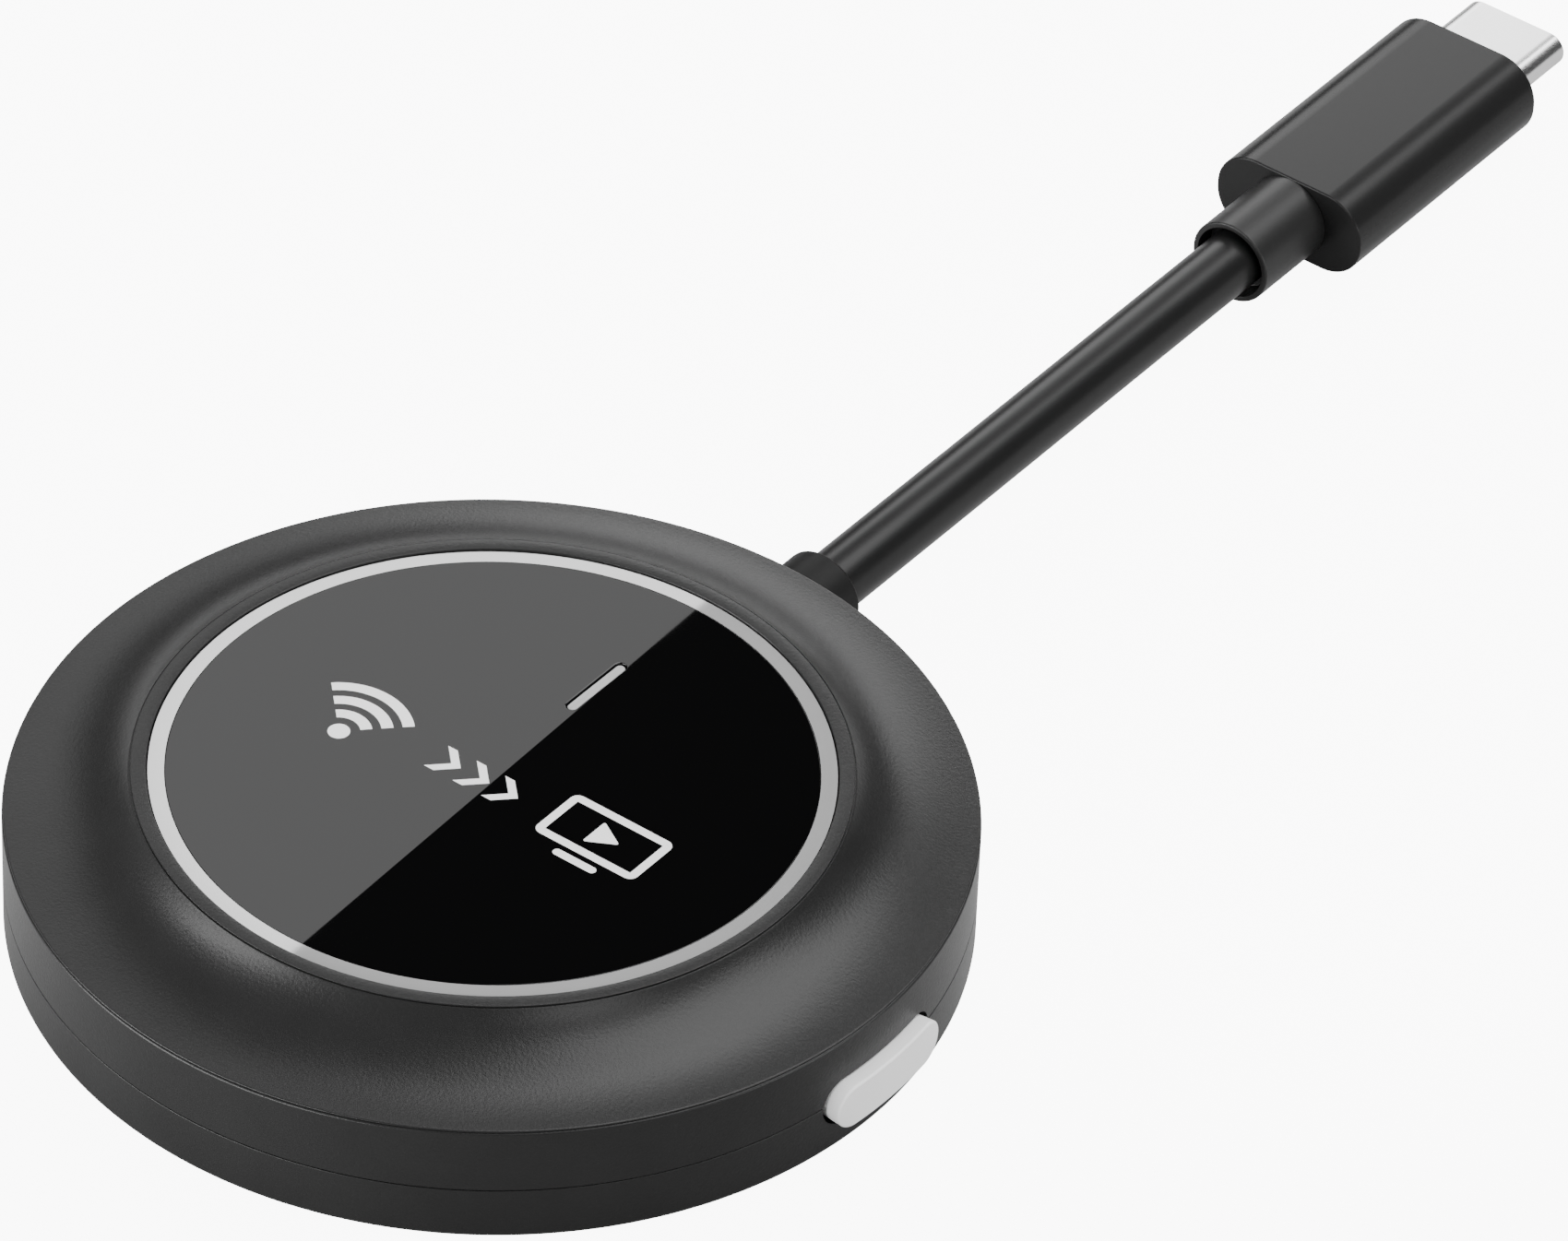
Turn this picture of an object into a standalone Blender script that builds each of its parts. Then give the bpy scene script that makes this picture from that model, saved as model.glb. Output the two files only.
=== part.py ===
# Round streaming media player with a short captive USB-C lead.
# Metres, +Z up. Origin: middle of the footprint, on the surface it stands on.
# The lead leaves along +Y and the button is on +X.

import bpy
import bmesh
from math import cos, hypot, pi, radians, sin, sqrt
from mathutils import Matrix, Vector

mm = 0.001

# ---- clearances ----
seat_gap = 0.10 * mm          # between pieces that rest on each other
slide_gap = 0.10 * mm         # round the button where it slides in the wall
pin_gap = 0.05 * mm           # radial, round pins, screws and light guides
cord_gap = 0.30 * mm          # between the lead's face and what it meets
join = 0.2 * mm               # how far a boss or leg runs into the piece that carries it
past = 1.0 * mm               # how far a cutter runs past the face it goes through
round_steps = 72              # segments of the large turned pieces
small_steps = 16              # segments of posts, screws and holes

# ---- case ----
case_radius = 31.6 * mm
case_wall = 1.7 * mm
case_bottom = 0.2 * mm        # plastic base above the standing surface
base_floor = 1.6 * mm
base_edge = 0.6 * mm          # rounding of the bottom edge
seam_height = 4.25 * mm
crease_height = 9.2 * mm      # top edge of the side wall
cover_height = 12.35 * mm     # flat bezel on top
tongue_height = 1.1 * mm
tongue_wall = 0.7 * mm
seam_bevel = 0.2 * mm
inner_chamfer = 0.3 * mm      # inside corners of the case

# ---- top cover ----
shut_line = 0.12 * mm         # groove between the cover and the side band
cover_step = 0.15 * mm        # the cover's edge stands in from the wall
cover_edge = 0.3 * mm         # upright edge of the cover
cover_bevel = 0.15 * mm
cover_wall = 1.3 * mm
bezel_width = 1.0 * mm
skirt_wall = 1.0 * mm
cover_floor = 1.5 * mm
cove_points = 10

# ---- window stack ----
window_radius = 21.1 * mm
window_thickness = 0.8 * mm
window_drop = 0.15 * mm       # window face below the bezel
mask_thickness = 0.12 * mm
ring_width = 1.05 * mm
ring_depth = 1.0 * mm
ring_leg_count = 4
leg_wall = 0.05 * mm          # the legs are thinner than the ring by this on each side
window_bevel = 0.1 * mm

# ---- status light ----
status_length = 5.9 * mm
status_width = 0.85 * mm
status_offset = 10.75 * mm    # middle of the slot, towards the lead
pipe_drop = 0.15 * mm
pipe_flange = 1.2 * mm
pipe_flange_wall = 0.6 * mm

# ---- board and what stands on it ----
board_height = 5.0 * mm       # underside of the board
board_thickness = 1.0 * mm
board_margin = 1.5 * mm       # board edge to the wall's inner face
solder_gap = 0.05 * mm
lamp_size = (1.6 * mm, 1.6 * mm, 0.7 * mm)
status_lamp_length = 3.0 * mm
processor_size = (13.0 * mm, 13.0 * mm, 1.2 * mm)
processor_place = (0, -5.0 * mm)
pad_size = (12.0 * mm, 12.0 * mm, 0.8 * mm)
spreader_size = (24.0 * mm, 17.0 * mm, 0.8 * mm)
spreader_corner = 2.0 * mm
spreader_leg_radius = 0.8 * mm
spreader_leg_inset = 1.5 * mm
memory_size = (6.5 * mm, 9.0 * mm, 1.0 * mm)
memory_place = (-15.5 * mm, -6.5 * mm)
wireless_size = (6.0 * mm, 6.0 * mm, 0.9 * mm)
wireless_place = (-10.0 * mm, 12.0 * mm)
shield_size = (9.0 * mm, 9.0 * mm, 1.6 * mm)
shield_wall = 0.25 * mm
inductor_size = (4.0 * mm, 4.0 * mm, 2.0 * mm)
inductor_place = (12.0 * mm, -18.0 * mm)
crystal_size = (3.2 * mm, 2.5 * mm, 0.8 * mm)
crystal_place = (14.0 * mm, 2.0 * mm)
antenna_size = (1.2 * mm, 7.0 * mm, 2.2 * mm)
antenna_circle = 25.2 * mm
antenna_angle = radians(22)
header_size = (8.0 * mm, 4.0 * mm, 2.2 * mm)
header_offset = 16.5 * mm

# ---- case screws ----
screw_circle = 24.2 * mm
screw_radius = 1.0 * mm
screw_head_radius = 1.9 * mm
screw_head_height = 1.2 * mm
screw_reach = 6.2 * mm
pillar_radius = 2.7 * mm
boss_radius = 2.2 * mm
bore_past_screw = 0.5 * mm
socket_radius = 0.7 * mm
socket_depth = 0.6 * mm

# ---- rubber foot, a disc that hides the screws ----
foot_radius = 28.0 * mm
foot_recess = 0.6 * mm

# ---- button ----
button_length = 11.0 * mm
button_height = 3.6 * mm
button_middle = 3.9 * mm      # height of the button's middle
button_proud = 1.0 * mm
button_travel = 0.45 * mm
flange_overhang = 1.2 * mm
flange_wall = 0.9 * mm
flange_inset = 0.15 * mm      # flange lower than the button by this, above and below
plunger_width = 1.8 * mm
plunger_height = 1.0 * mm
plunger_grip = 0.7 * mm       # plunger inside the switch at rest
switch_length = 3.6 * mm
switch_width = 4.8 * mm
switch_height = 1.8 * mm
switch_front = 25.9 * mm

# ---- strain relief on the case ----
relief_radius = 3.05 * mm
relief_reach = 4.0 * mm       # past the case wall
relief_height = 4.7 * mm      # axis above the surface
relief_flange_radius = 3.9 * mm
relief_flange_wall = 1.8 * mm
relief_flat = 2.75 * mm       # half height of the flange, cut flat above and below

# ---- lead ----
cord_radius = 2.2 * mm
cord_route = [                # hand-laid: level off the strain relief down to the plug
    (0.00 * mm, 35.9 * mm, 4.70 * mm),
    (-0.08 * mm, 44.0 * mm, 4.60 * mm),
    (-0.27 * mm, 52.0 * mm, 4.34 * mm),
    (-0.53 * mm, 60.0 * mm, 4.00 * mm),
    (-0.79 * mm, 68.0 * mm, 3.66 * mm),
    (-1.00 * mm, 76.0 * mm, 3.39 * mm),
    (-1.10 * mm, 85.3 * mm, 3.25 * mm),
]
inner_lead_radius = 0.9 * mm
inner_lead_level = 3.7 * mm   # height where it runs under the board

# ---- plug ----
plug_width = 12.3 * mm
plug_thickness = 6.5 * mm
plug_corner = 3.1 * mm
plug_length = 21.8 * mm
plug_wall = 1.2 * mm
plug_side_wall = 1.45 * mm
plug_board_width = 7.6 * mm
plug_board_length = 12.0 * mm
plug_board_thickness = 0.6 * mm
sleeve_radius = 3.15 * mm
sleeve_length = 7.0 * mm
sleeve_mouth_radius = 2.75 * mm
sleeve_mouth_depth = 1.6 * mm
sleeve_neck_radius = 1.8 * mm
sleeve_neck_length = 1.6 * mm
shell_width = 8.34 * mm       # USB-C plug shell
shell_thickness = 2.56 * mm
shell_reach = 6.65 * mm
shell_inside = 6.0 * mm
shell_wall = 0.25 * mm
insert_setback = 0.5 * mm      # insert's face inside the shell's tip
insert_back = 0.2 * mm        # insert's back inside the shell's back
mouth_width = 6.9 * mm
mouth_height = 1.3 * mm
mouth_depth = 5.4 * mm
contact_count = 12
contact_pitch = 0.5 * mm
contact_width = 0.25 * mm
contact_thickness = 0.14 * mm
contact_length = 4.4 * mm
contact_bar = 0.5 * mm        # strip that joins the contacts at the back

# ---- worked out from the sizes above ----
inner_radius = case_radius - case_wall
floor_top = case_bottom + base_floor
cover_radius = case_radius - cover_step
ring_inner = window_radius + pin_gap
ring_outer = ring_inner + ring_width
bezel_inner = ring_outer + seat_gap
bezel_outer = bezel_inner + bezel_width
window_top = cover_height - window_drop
window_bottom = window_top - window_thickness
mask_top = window_bottom - solder_gap
mask_bottom = mask_top - mask_thickness
cover_floor_top = mask_bottom - seat_gap
cover_floor_bottom = cover_floor_top - cover_floor
ring_bottom = mask_top - ring_depth
band_top = crease_height - cover_edge - shut_line
band_bottom = seam_height + shut_line
skirt_outer = inner_radius - seat_gap
skirt_inner = skirt_outer - skirt_wall
skirt_bottom = relief_height + relief_radius + 2 * seat_gap
board_radius = inner_radius - board_margin
board_top = board_height + board_thickness
chip_bottom = board_top + solder_gap
lamp_top = chip_bottom + lamp_size[2]
leg_radius = ring_width / 2 - leg_wall
screw_head_seat = case_bottom + foot_recess + seat_gap + screw_head_height
header_end = header_offset + header_size[1] / 2
relief_outer_end = case_radius + relief_reach
wall_under_flange = sqrt(inner_radius ** 2 - relief_flange_radius ** 2)
relief_inner_end = wall_under_flange - seat_gap - relief_flange_wall
lead_notch = relief_inner_end - cord_gap - 3 * inner_lead_radius
flange_outer = inner_radius - 2 * seat_gap
flange_inner = flange_outer - flange_wall
switch_back = switch_front - switch_length
plunger_tip = flange_inner - 2 * seat_gap
plug_middle = Vector((cord_route[-1][0], 0, plug_thickness / 2))
sleeve_back = cord_route[-1][1] + cord_gap - sleeve_mouth_depth
plug_back = sleeve_back + sleeve_length + seat_gap
plug_front = plug_back + plug_length
insert_front = plug_front + shell_reach - insert_setback

for old in list(bpy.data.objects):
    bpy.data.objects.remove(old)

parts = bpy.data.collections.new("streaming_media_player")
cutters = bpy.data.collections.new("cutters")
bpy.context.scene.collection.children.link(parts)
bpy.context.scene.collection.children.link(cutters)


# ---- modelling helpers ----

def new_material(name, colour, roughness, metallic=0.0):
    material = bpy.data.materials.new(name)
    material.use_nodes = True
    shader = material.node_tree.nodes["Principled BSDF"]
    shader.inputs["Base Color"].default_value = (*colour, 1)
    shader.inputs["Roughness"].default_value = roughness
    shader.inputs["Metallic"].default_value = metallic
    material.diffuse_color = (*colour, 1)
    return material


def new_part(name, mesh, material, place=(0, 0, 0)):
    part = bpy.data.objects.new(name, mesh)
    part.location = place
    mesh.materials.clear()
    mesh.materials.append(material)
    parts.objects.link(part)
    return part


def mesh_from(build, name="shape"):
    mesh = bpy.data.meshes.new(name)
    shape = bmesh.new()
    build(shape)
    shape.to_mesh(mesh)
    shape.free()
    return mesh


def box_mesh(low, high):
    size = Vector(high) - Vector(low)
    middle = (Vector(high) + Vector(low)) / 2
    matrix = Matrix.Translation(middle) @ Matrix.Diagonal((*size, 1))
    return mesh_from(lambda shape: bmesh.ops.create_cube(shape, size=1, matrix=matrix))


def post_mesh(radius, bottom, top, x=0, y=0, steps=small_steps):
    matrix = Matrix.Translation((x, y, (bottom + top) / 2))

    def build(shape):
        bmesh.ops.create_cone(shape, cap_ends=True, segments=steps, radius1=radius, radius2=radius,
                              depth=top - bottom, matrix=matrix)
    return mesh_from(build)


def rod_mesh(radius, back, front, x, z, steps=32):
    # a cylinder lying along Y
    matrix = Matrix.Translation((x, (back + front) / 2, z)) @ Matrix.Rotation(pi / 2, 4, "X")

    def build(shape):
        bmesh.ops.create_cone(shape, cap_ends=True, segments=steps, radius1=radius, radius2=radius,
                              depth=front - back, matrix=matrix)
    return mesh_from(build)


def profile_mesh(points, closed):
    # a wire in the XZ plane, to be turned about Z
    def build(shape):
        corners = [shape.verts.new((radius, 0, height)) for radius, height in points]
        for first, second in zip(corners, corners[1:]):
            shape.edges.new((first, second))
        if closed:
            shape.edges.new((corners[-1], corners[0]))
    return mesh_from(build)


def turn(part, steps=round_steps):
    screw = part.modifiers.new("Turned", "SCREW")
    screw.steps = steps
    screw.render_steps = steps
    screw.use_merge_vertices = True
    screw.merge_threshold = 0.000001
    screw.use_smooth_shade = False
    return part


def finished_mesh(part):
    # the part's mesh with its modifiers applied, welded
    graph = bpy.context.evaluated_depsgraph_get()
    mesh = bpy.data.meshes.new_from_object(part.evaluated_get(graph))
    shape = bmesh.new()
    shape.from_mesh(mesh)
    bmesh.ops.remove_doubles(shape, verts=shape.verts, dist=0.000001)
    shape.to_mesh(mesh)
    shape.free()
    return mesh


def turned_part(name, points, material, steps=round_steps, closed=False):
    return turn(new_part(name, profile_mesh(points, closed), material), steps)


def slab_mesh(outline, thickness):
    # a flat outline in XY, thickness centred on Z = 0
    curve = bpy.data.curves.new("outline", "CURVE")
    curve.dimensions = "2D"
    curve.fill_mode = "BOTH"
    curve.extrude = thickness / 2
    spline = curve.splines.new("POLY")
    spline.points.add(len(outline) - 1)
    for point, (x, y) in zip(spline.points, outline):
        point.co = (x, y, 0, 1)
    spline.use_cyclic_u = True
    guide = bpy.data.objects.new("outline", curve)
    bpy.context.scene.collection.objects.link(guide)
    mesh = finished_mesh(guide)
    bpy.data.objects.remove(guide)
    return mesh


def pill(width, height, corner, steps=6):
    # corner points of a rectangle with round corners, anticlockwise
    points = []
    for side_x, side_y, start in ((1, 1, 0), (-1, 1, 90), (-1, -1, 180), (1, -1, 270)):
        for step in range(steps + 1):
            angle = radians(start + 90 * step / steps)
            x = side_x * (width / 2 - corner) + corner * cos(angle)
            y = side_y * (height / 2 - corner) + corner * sin(angle)
            if not points or hypot(x - points[-1][0], y - points[-1][1]) > 0.000001:
                points.append((x, y))
    if hypot(points[0][0] - points[-1][0], points[0][1] - points[-1][1]) < 0.000001:
        points.pop()
    return points


def standing_slab(outline, back, front, x, z):
    # an outline whose width lies along X and height along Z, extruded along Y
    mesh = slab_mesh(outline, front - back)
    mesh.transform(Matrix.Translation((x, (back + front) / 2, z)) @ Matrix.Rotation(pi / 2, 4, "X"))
    return mesh


def side_slab(outline, back, front, z):
    # an outline whose width lies along Y and height along Z, extruded along X
    mesh = slab_mesh(outline, front - back)
    turn_up = Matrix.Rotation(pi / 2, 4, "Z") @ Matrix.Rotation(pi / 2, 4, "X")
    mesh.transform(Matrix.Translation(((back + front) / 2, 0, z)) @ turn_up)
    return mesh


def flat_slab(outline, bottom, top, x=0, y=0):
    mesh = slab_mesh(outline, top - bottom)
    mesh.transform(Matrix.Translation((x, y, (bottom + top) / 2)))
    return mesh


def combine(part, mesh, operation, name):
    tool = bpy.data.objects.new(part.name + "_" + name, mesh)
    tool.display_type = "WIRE"
    tool.hide_render = True
    tool.parent = part.parent
    cutters.objects.link(tool)
    step = part.modifiers.new(name, "BOOLEAN")
    step.operation = operation
    step.object = tool
    step.solver = "EXACT"
    return tool


def cut(part, mesh, name):
    return combine(part, mesh, "DIFFERENCE", name)


def add(part, mesh, name):
    return combine(part, mesh, "UNION", name)


def around(count, radius, start=0.0):
    return [(radius * cos(start + 2 * pi * step / count), radius * sin(start + 2 * pi * step / count))
            for step in range(count)]


# ---- materials ----

case_black = new_material("case_black", (0.028, 0.028, 0.029), 0.55)
cover_black = new_material("cover_black", (0.03, 0.03, 0.031), 0.5)
window_black = new_material("window_black", (0.005, 0.005, 0.005), 0.04)
ring_white = new_material("ring_white", (0.62, 0.62, 0.62), 0.3)
light_clear = new_material("light_clear", (0.5, 0.5, 0.5), 0.25)
button_grey = new_material("button_grey", (0.66, 0.66, 0.66), 0.45)
rubber_black = new_material("rubber_black", (0.02, 0.02, 0.02), 0.85)
cord_black = new_material("cord_black", (0.02, 0.02, 0.021), 0.4)
plug_black = new_material("plug_black", (0.025, 0.025, 0.026), 0.35)
shell_steel = new_material("shell_steel", (0.72, 0.72, 0.72), 0.2, 1.0)
gold_contact = new_material("gold_contact", (0.8, 0.58, 0.2), 0.3, 1.0)
board_green = new_material("board_green", (0.02, 0.12, 0.06), 0.5)
chip_black = new_material("chip_black", (0.015, 0.015, 0.016), 0.6)
tin_plate = new_material("tin_plate", (0.6, 0.6, 0.58), 0.35, 1.0)
spreader_metal = new_material("spreader_metal", (0.7, 0.71, 0.72), 0.4, 1.0)
pad_pink = new_material("pad_pink", (0.55, 0.3, 0.35), 0.8)
screw_steel = new_material("screw_steel", (0.35, 0.35, 0.36), 0.35, 1.0)
lamp_white = new_material("lamp_white", (0.75, 0.72, 0.6), 0.4)
ferrite_grey = new_material("ferrite_grey", (0.12, 0.12, 0.12), 0.7)
insert_black = new_material("insert_black", (0.015, 0.015, 0.015), 0.5)


# ---- case ----

def cove():
    # outer profile of the cover from the bezel's edge down to the crease, with its inward normals
    start = Vector((bezel_outer, cover_height))
    end = Vector((cover_radius - cover_bevel, crease_height))
    run = end.x - start.x
    drop = start.y - end.y
    first = start + Vector((0.125 * run, -0.38 * drop))
    second = end + Vector((-0.585 * run, 0.05 * drop))
    line = []
    for step in range(cove_points + 1):
        t = step / cove_points
        point = ((1 - t) ** 3 * start + 3 * (1 - t) ** 2 * t * first
                 + 3 * (1 - t) * t ** 2 * second + t ** 3 * end)
        slope = (3 * (1 - t) ** 2 * (first - start) + 6 * (1 - t) * t * (second - first)
                 + 3 * t ** 2 * (end - second))
        line.append((point, Vector((slope.y, -slope.x)).normalized()))
    return line


def make_top_cover():
    line = cove()
    outside = [(point.x, point.y) for point, inward in line]
    inside = [point + inward * cover_wall for point, inward in line]
    inside = [(point.x, point.y) for point in reversed(inside)
              if point.x < skirt_inner - inner_chamfer and point.y < cover_floor_bottom - seat_gap]
    recess_bottom = ring_bottom - pin_gap
    points = [(0, cover_floor_top), (window_radius, cover_floor_top), (window_radius, recess_bottom),
              (bezel_inner, recess_bottom), (bezel_inner, cover_height)]
    points += outside
    points += [(cover_radius, crease_height - cover_bevel), (cover_radius, crease_height - cover_edge),
               (skirt_outer, crease_height - cover_edge), (skirt_outer, skirt_bottom),
               (skirt_inner, skirt_bottom), (skirt_inner, inside[0][1] - inner_chamfer)]
    points += inside
    points += [(inside[-1][0] - 2 * inner_chamfer, cover_floor_bottom), (0, cover_floor_bottom)]
    cover = turned_part("top_cover", points, cover_black)
    boss_bottom = board_top + seat_gap
    bore_top = screw_head_seat + screw_reach + bore_past_screw
    for index, (x, y) in enumerate(screw_places()):
        add(cover, post_mesh(boss_radius, boss_bottom, cover_floor_bottom + join, x, y), "boss_%d" % index)
        cut(cover, post_mesh(screw_radius + pin_gap, boss_bottom - past, bore_top, x, y), "pilot_%d" % index)
    for index, (x, y) in enumerate(ring_leg_places()):
        hole = post_mesh(leg_radius + pin_gap, cover_floor_bottom - past, recess_bottom + join, x, y)
        cut(cover, hole, "leg_hole_%d" % index)
    cut(cover, status_slot_mesh(cover_floor_bottom, cover_floor_top), "status_slot")


def screw_places():
    return around(4, screw_circle, radians(45))


def ring_leg_places():
    return around(ring_leg_count, (ring_inner + ring_outer) / 2)


def status_slot_mesh(bottom, top):
    outline = pill(status_width, status_length, status_width / 2, 4)
    return flat_slab(outline, bottom - past, top + past, 0, status_offset)


def make_side_band():
    rebate = inner_radius + tongue_wall + seat_gap
    rebate_top = seam_height + tongue_height + seat_gap
    points = [(case_radius - seam_bevel, band_top), (case_radius, band_top - seam_bevel),
              (case_radius, band_bottom), (rebate, band_bottom), (rebate, rebate_top),
              (inner_radius, rebate_top + inner_chamfer), (inner_radius, band_top)]
    band = turned_part("side_band", points, case_black, closed=True)
    cut(band, button_slot_mesh(), "button_slot")
    cut(band, relief_hole_mesh(), "relief_hole")


def make_base_cover():
    edge = base_edge
    bottom = case_bottom
    corner = [(case_radius - edge + edge * cos(radians(angle)), bottom + edge - edge * sin(radians(angle)))
              for angle in (0, 30, 60, 90)]
    tongue_top = seam_height + tongue_height
    tongue_outer = inner_radius + tongue_wall
    recess = foot_radius + seat_gap
    points = [(0, floor_top), (inner_radius - inner_chamfer, floor_top),
              (inner_radius, floor_top + inner_chamfer), (inner_radius, tongue_top),
              (tongue_outer, tongue_top), (tongue_outer, seam_height), (case_radius, seam_height)]
    points += corner
    points += [(recess, bottom), (recess, bottom + foot_recess), (0, bottom + foot_recess)]
    base = turned_part("base_cover", points, case_black)
    for index, (x, y) in enumerate(screw_places()):
        add(base, post_mesh(pillar_radius, floor_top - join, board_height - seat_gap, x, y),
            "pillar_%d" % index)
        cut(base, post_mesh(screw_head_radius + pin_gap, bottom - past, screw_head_seat + pin_gap, x, y),
            "head_pocket_%d" % index)
        cut(base, post_mesh(screw_radius + 2 * pin_gap, bottom, board_height + past, x, y),
            "screw_hole_%d" % index)
    cut(base, button_slot_mesh(), "button_slot")
    cut(base, relief_hole_mesh(), "relief_hole")


def make_foot():
    top = case_bottom + foot_recess - seat_gap
    turned_part("rubber_foot", [(0, top), (foot_radius, top), (foot_radius, 0), (0, 0)], rubber_black)


# ---- window and lights ----

def make_window():
    points = [(0, window_top), (window_radius - window_bevel, window_top),
              (window_radius, window_top - window_bevel), (window_radius, window_bottom), (0, window_bottom)]
    window = turned_part("front_window", points, window_black)
    cut(window, status_slot_mesh(window_bottom, window_top), "status_slot")


def make_mask():
    mask = turned_part("window_mask", [(0, mask_top), (window_radius, mask_top),
                                       (window_radius, mask_bottom), (0, mask_bottom)], window_black)
    cut(mask, status_slot_mesh(mask_bottom, mask_top), "status_slot")


def make_light_ring():
    ring = turned_part("light_ring", [(ring_outer, window_top), (ring_outer, ring_bottom),
                                      (ring_inner, ring_bottom), (ring_inner, window_top)],
                       ring_white, closed=True)
    for index, (x, y) in enumerate(ring_leg_places()):
        add(ring, post_mesh(leg_radius, lamp_top + seat_gap, ring_bottom + join, x, y, 12), "leg_%d" % index)


def make_status_pipe():
    width = status_width - 2 * slide_gap
    length = status_length - 2 * slide_gap
    bar = pill(width, length, width / 2, 4)
    flange = pill(width + 2 * pipe_flange, length + 2 * pipe_flange, width / 2, 4)
    pipe = new_part("status_light_pipe", flat_slab(bar, lamp_top + seat_gap, window_top - pipe_drop,
                                                   0, status_offset), light_clear)
    flange_top = cover_floor_bottom - seat_gap
    add(pipe, flat_slab(flange, flange_top - pipe_flange_wall, flange_top, 0, status_offset), "flange")


# ---- board ----

def make_main_board():
    board = turned_part("main_board", [(0, board_top), (board_radius, board_top),
                                       (board_radius, board_height), (0, board_height)], board_green)
    low = board_height - past
    high = board_top + past
    notch = flange_inner - button_travel - flange_wall
    half = button_length / 2 + flange_overhang + past
    cut(board, box_mesh((notch, -half, low), (case_radius, half, high)), "button_notch")
    half = relief_flange_radius + cord_gap
    cut(board, box_mesh((-half, lead_notch, low), (half, case_radius, high)), "lead_notch")
    for index, (x, y) in enumerate(screw_places()):
        cut(board, post_mesh(screw_radius + 2 * pin_gap, low, high, x, y), "screw_hole_%d" % index)


def make_block(name, size, place, material, bottom=chip_bottom, angle=0.0):
    # a rectangular component standing on the board
    width, length, height = size
    mesh = box_mesh((-width / 2, -length / 2, 0), (width / 2, length / 2, height))
    block = new_part(name, mesh, material, (place[0], place[1], bottom))
    block.rotation_euler.z = angle


def make_components():
    pad_bottom = chip_bottom + processor_size[2] + solder_gap
    make_block("processor", processor_size, processor_place, chip_black)
    make_block("thermal_pad", pad_size, processor_place, pad_pink, pad_bottom)
    make_block("memory_chip", memory_size, memory_place, chip_black)
    make_block("wireless_chip", wireless_size, wireless_place, chip_black)
    make_block("power_inductor", inductor_size, inductor_place, ferrite_grey)
    make_block("crystal", crystal_size, crystal_place, tin_plate)
    make_block("status_lamp", (lamp_size[0], status_lamp_length, lamp_size[2]), (0, status_offset), lamp_white)
    for index, place in enumerate(ring_leg_places()):
        make_block("ring_lamp_%d" % (index + 1), lamp_size, place, lamp_white)
    for side, angle in (("right", antenna_angle), ("left", pi - antenna_angle)):
        place = (antenna_circle * cos(angle), antenna_circle * sin(angle))
        make_block("antenna_" + side, antenna_size, place, tin_plate, angle=angle)
    header_bottom = board_height - solder_gap - header_size[2]
    make_block("lead_header", header_size, (0, header_offset), insert_black, header_bottom)


def make_shield():
    half_width = shield_size[0] / 2
    half_length = shield_size[1] / 2
    height = shield_size[2]
    can = new_part("shield_can", box_mesh((-half_width, -half_length, 0), (half_width, half_length, height)),
                   tin_plate, (*wireless_place, chip_bottom))
    hollow = box_mesh((-half_width + shield_wall, -half_length + shield_wall, -past),
                      (half_width - shield_wall, half_length - shield_wall, height - shield_wall))
    cut(can, hollow, "hollow").location = can.location


def make_heat_spreader():
    width, length, height = spreader_size
    stand_off = processor_size[2] + pad_size[2] + 2 * solder_gap
    plate = flat_slab(pill(width, length, spreader_corner, 4), stand_off, stand_off + height)
    spreader = new_part("heat_spreader", plate, spreader_metal, (*processor_place, chip_bottom))
    x = width / 2 - spreader_leg_inset
    y = length / 2 - spreader_leg_inset
    for index, (side_x, side_y) in enumerate(((1, 1), (-1, 1), (-1, -1), (1, -1))):
        leg = post_mesh(spreader_leg_radius, 0, stand_off + join, side_x * x, side_y * y, 12)
        add(spreader, leg, "leg_%d" % index).location = spreader.location


def make_case_screws():
    head_bottom = screw_head_seat - screw_head_height
    socket_top = head_bottom + socket_depth
    tip = screw_head_seat + screw_reach
    points = [(0, tip), (screw_radius, tip), (screw_radius, screw_head_seat),
              (screw_head_radius, screw_head_seat), (screw_head_radius, head_bottom),
              (socket_radius, head_bottom), (socket_radius, socket_top), (0, socket_top)]
    for index, (x, y) in enumerate(screw_places()):
        screw = turned_part("case_screw_%d" % (index + 1), points, screw_steel, small_steps)
        screw.location = (x, y, 0)


# ---- button ----

def button_slot_mesh():
    length = button_length + 2 * slide_gap
    height = button_height + 2 * slide_gap
    outline = pill(length, height, height / 2)
    return side_slab(outline, inner_radius - 2 * past, case_radius + past, button_middle)


def curved_wall(outer, inner, low, high, keep):
    # the part of an upright ring wall that lies inside another shape
    points = [(outer, high), (outer, low), (inner, low), (inner, high)]
    guide = turn(new_part("wall_guide", profile_mesh(points, True), button_grey), 2 * round_steps)
    tool = combine(guide, keep, "INTERSECT", "keep")
    mesh = finished_mesh(guide)
    bpy.data.objects.remove(tool)
    bpy.data.objects.remove(guide)
    return mesh


def make_button():
    axis = bpy.data.objects.new("button_press_axis", None)
    axis.location = (case_radius, 0, button_middle)
    parts.objects.link(axis)
    face = case_radius + button_proud
    low = button_middle - button_height
    high = button_middle + button_height
    stem = side_slab(pill(button_length, button_height, button_height / 2),
                     flange_inner - past, face + past, button_middle)
    body = new_part("button_cap", curved_wall(face, flange_inner, low, high, stem), button_grey)
    half_length = button_length / 2 + flange_overhang
    half_height = button_height / 2 - flange_inset
    rim = box_mesh((flange_inner - 4 * past, -half_length, button_middle - half_height),
                   (flange_outer + past, half_length, button_middle + half_height))
    add(body, curved_wall(flange_outer, flange_inner, low, high, rim), "flange")
    body.parent = axis
    body.matrix_parent_inverse = Matrix.Translation(axis.location).inverted()
    make_switch(axis)


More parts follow.
